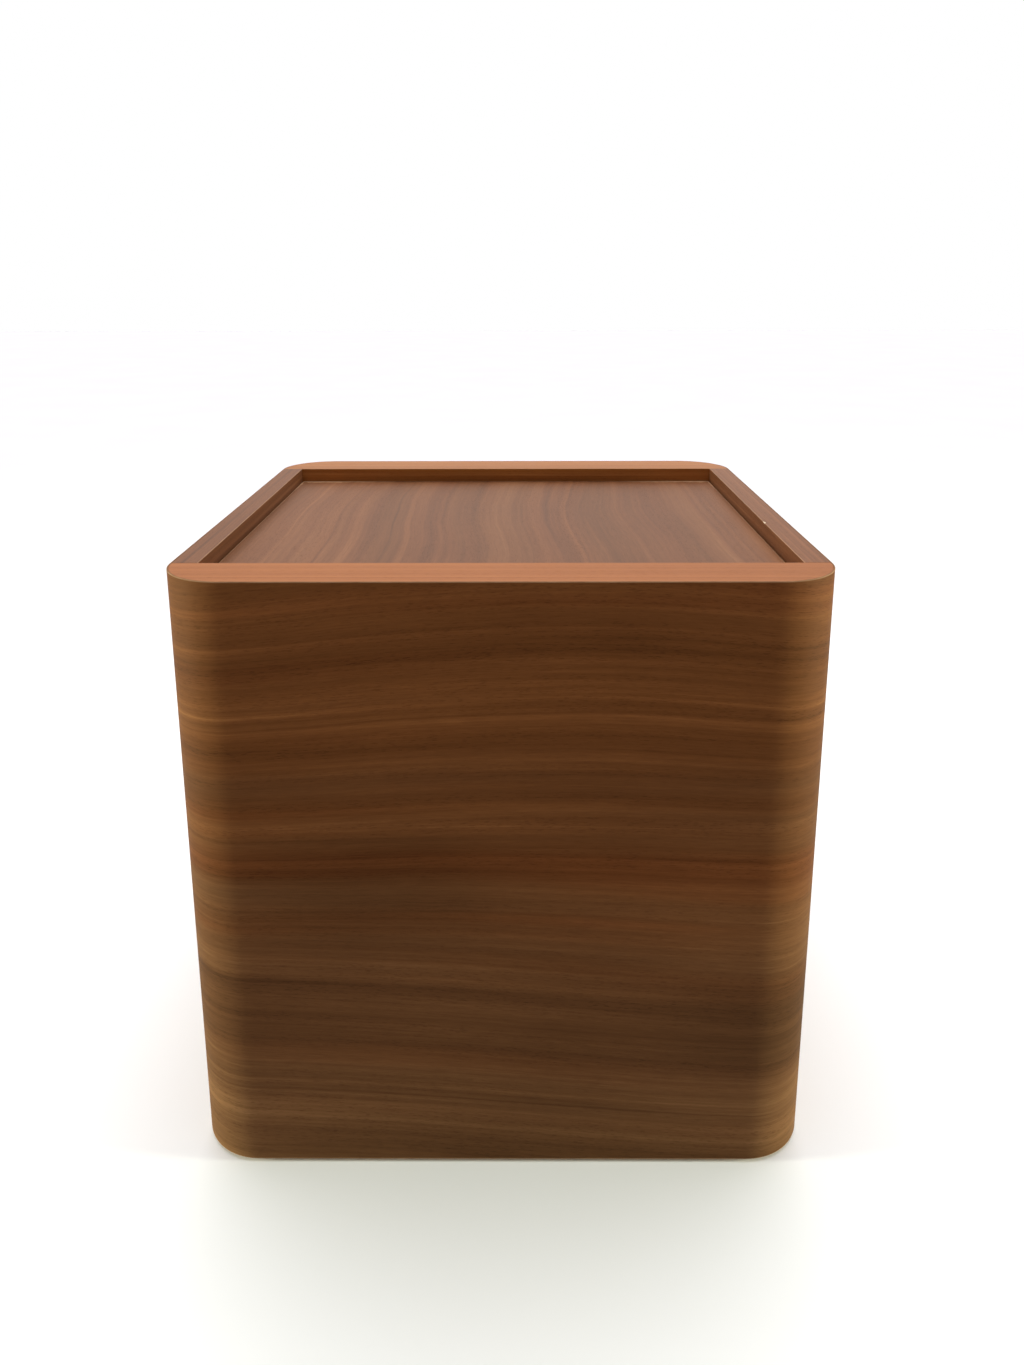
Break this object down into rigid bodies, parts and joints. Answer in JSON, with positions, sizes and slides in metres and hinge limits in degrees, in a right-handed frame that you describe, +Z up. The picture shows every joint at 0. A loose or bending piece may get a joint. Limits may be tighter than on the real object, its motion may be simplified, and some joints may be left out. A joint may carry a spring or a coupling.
{
  "type": "cube storage unit",
  "caption": "Cube storage unit with rounded upright corners, walnut veneered walls and a lift-out lid lying in a shallow tray-like recess inside its rim.",
  "frame": {"origin": "centre of the footprint, on the floor", "axes": "+Z up, +X to the right of a viewer who faces the front, the front wall faces -Y"},
  "size_m": [0.45, 0.45, 0.445],
  "materials": {
    "wall_walnut": "satin lacquered dark walnut veneer, grain running round the walls",
    "rim_walnut": "satin lacquered light walnut",
    "lid_walnut": "satin lacquered walnut veneer, grain running front to back",
    "carcass_board": "raw blockboard",
    "lid_board": "raw blockboard",
    "cleat_pine": "planed pine",
    "base_plywood": "sanded birch plywood",
    "dowel_beech": "fluted beech, unfinished",
    "screw_steel": "bright zinc plated",
    "glide_nylon": "matte dark nylon",
    "bumper_felt": "pressed felt"
  },
  "bodies": {
    "cabinet": {"board_front": "carcass_board", "board_back": "carcass_board", "board_left": "carcass_board", "board_right": "carcass_board", "post_front_left": "carcass_board", "post_front_right": "carcass_board", "post_back_left": "carcass_board", "post_back_right": "carcass_board", "rim_front": "rim_walnut", "rim_back": "rim_walnut", "rim_left": "rim_walnut", "rim_right": "rim_walnut", "outer_veneer": "wall_walnut", "top_rail_front": "carcass_board", "top_rail_back": "carcass_board", "lid_cleat_front": "cleat_pine", "lid_cleat_back": "cleat_pine", "lid_cleat_left": "cleat_pine", "lid_cleat_right": "cleat_pine", "base_cleat_front": "cleat_pine", "base_cleat_back": "cleat_pine", "base_cleat_left": "cleat_pine", "base_cleat_right": "cleat_pine", "base_panel": "base_plywood", "corner_dowels": "dowel_beech", "rim_dowels": "dowel_beech", "rail_screws": "screw_steel", "lid_cleat_screws": "screw_steel", "base_cleat_screws": "screw_steel", "base_panel_screws": "screw_steel", "glides": "glide_nylon", "glide_screws": "screw_steel", "lid_bumpers": "bumper_felt"},
    "lid": {"lid_core": "lid_board", "lid_lipping_front": "lid_walnut", "lid_lipping_back": "lid_walnut", "lid_lipping_left": "lid_walnut", "lid_lipping_right": "lid_walnut", "lid_veneer_top": "lid_walnut", "lid_veneer_bottom": "lid_walnut"}
  },
  "joints": [
    {"name": "lid_lift", "type": "slide", "parent": "cabinet", "child": "lid", "axis": [0, 0, 1], "range_m": [0, 0.45]}
  ]
}
